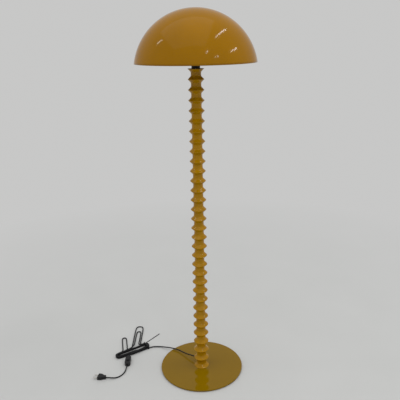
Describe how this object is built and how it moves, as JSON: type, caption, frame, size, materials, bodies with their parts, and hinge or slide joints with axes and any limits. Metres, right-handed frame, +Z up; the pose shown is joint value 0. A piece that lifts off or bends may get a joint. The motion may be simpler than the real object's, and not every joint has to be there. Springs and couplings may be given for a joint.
{
  "type": "floor lamp",
  "caption": "Mushroom floor lamp: gloss dome shade on a turned bobbin stem and a thin round base, with lampholder, bulb and a flex with foot switch and plug.",
  "frame": {"origin": "centre of the base's underside, on the floor", "axes": "+Z up along the stem, -Y towards the viewer, +X to the viewer's right; the flex leaves at the back left"},
  "size_m": [0.6917, 0.5554, 1.4985],
  "materials": {
    "base_paint": "gloss mustard lacquer on steel plate",
    "stem_paint": "turned wood under gloss mustard lacquer",
    "dome_paint": "gloss mustard lacquer on spun metal",
    "felt": "black felt",
    "steel": "zinc plated",
    "brass": "turned brass",
    "holder": "black thermoset, satin",
    "core": "white porcelain",
    "carrier": "black powder coat",
    "tips": "soft black rubber",
    "bulb_white": "white moulded body",
    "bulb_opal": "opal globe, satin",
    "nickel": "nickel plated cap",
    "black_glass": "black insulator",
    "flex": "black PVC sheath, satin",
    "black_plastic": "black moulded plastic",
    "tie": "black nylon"
  },
  "bodies": {
    "stand": {"base_felt": "felt", "base_plate": "base_paint", "base_screw": "steel", "stem_sections": "stem_paint", "foot_bush": "brass", "tie_tubes": "steel", "tube_couplers": "steel", "top_washer": "steel", "top_nut": "steel", "holder_cap": "holder", "holder_core": "core", "holder_skirt": "holder", "holder_screw_shell": "brass", "holder_contact": "brass", "dome_carrier": "carrier", "carrier_tips": "tips", "holder_ring": "holder", "inner_lead": "flex", "cable_grommet": "black_plastic", "cord_run": "flex", "cord_hank": "flex", "cord_tie": "tie", "cord_to_switch": "flex", "switch_base": "black_plastic", "switch_cover": "black_plastic", "cord_to_plug": "flex", "plug_body": "black_plastic", "plug_pins": "nickel"},
    "dome": {"dome_shade": "dome_paint", "dome_seat_ring": "carrier"},
    "bulb": {"bulb_tip_contact": "nickel", "bulb_insulator": "black_glass", "bulb_screw_cap": "nickel", "bulb_body": "bulb_white", "bulb_globe": "bulb_opal"},
    "button": {"switch_button": "black_plastic"}
  },
  "joints": [
    {"name": "dome_lift", "type": "slide", "parent": "stand", "child": "dome", "axis": [0, 0, 1], "range_m": [0, 0.26]},
    {"name": "bulb_unscrew", "type": "slide", "parent": "stand", "child": "bulb", "axis": [0, 0, 1], "range_m": [0, 0.024]},
    {"name": "button_press", "type": "slide", "parent": "stand", "child": "button", "axis": [0, 0, -1], "range_m": [0, 0.0025], "stiffness_N_per_m": 800, "springref_m": -0.001}
  ]
}
